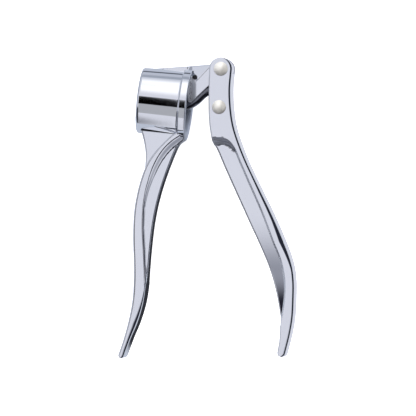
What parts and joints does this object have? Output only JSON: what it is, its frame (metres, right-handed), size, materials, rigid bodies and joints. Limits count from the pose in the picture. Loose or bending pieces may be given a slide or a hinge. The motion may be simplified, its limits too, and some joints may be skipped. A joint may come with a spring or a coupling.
{
  "type": "garlic press",
  "caption": "Two-handled garlic press with a round sieve cup and a hinged plunger that the upper handle drives into the cup.",
  "frame": {"origin": "middle of the whole press's box in X and Y, on the surface that it lies on", "axes": "+Z along the pivots, up from the surface; +Y from the handle tips to the pivots; +X from the hopper handle to the press handle"},
  "size_m": [0.1006, 0.171, 0.0408],
  "materials": {
    "cast_chrome": "bright chrome plate on a smooth casting",
    "rivet_nickel": "satin nickel",
    "arm_steel": "dark satin steel",
    "sieve_steel": "fine brushed stainless",
    "spring_steel": "satin",
    "washer_steel": "satin",
    "screw_steel": "satin"
  },
  "bodies": {
    "hopper": {"hopper_handle": "cast_chrome", "sieve_plate": "sieve_steel", "sieve_retaining_ring": "spring_steel"},
    "press": {"press_handle": "cast_chrome", "main_rivet": "rivet_nickel", "main_rivet_cap": "rivet_nickel", "main_washer_near": "washer_steel", "main_washer_far": "washer_steel", "plunger_rivet": "rivet_nickel", "plunger_rivet_cap": "rivet_nickel", "plunger_washer_near": "washer_steel", "plunger_washer_far": "washer_steel"},
    "plunger": {"plunger_arm": "arm_steel", "plunger_head": "cast_chrome", "plunger_head_screw": "screw_steel"}
  },
  "joints": [
    {"name": "press_hinge", "type": "hinge", "parent": "hopper", "child": "press", "pos_m": [0.00843, 0.07895, 0.0204], "axis": [0, 0, 1], "range_deg": [-22, 24]},
    {"name": "plunger_hinge", "type": "hinge", "parent": "press", "child": "plunger", "pos_m": [0.00743, 0.05725, 0.0204], "axis": [0, 0, 1], "range_deg": [-23.1, 21.2]}
  ],
  "couplings": [
    {"joint": "plunger_hinge", "follows": "press_hinge", "ratio": -0.95}
  ]
}
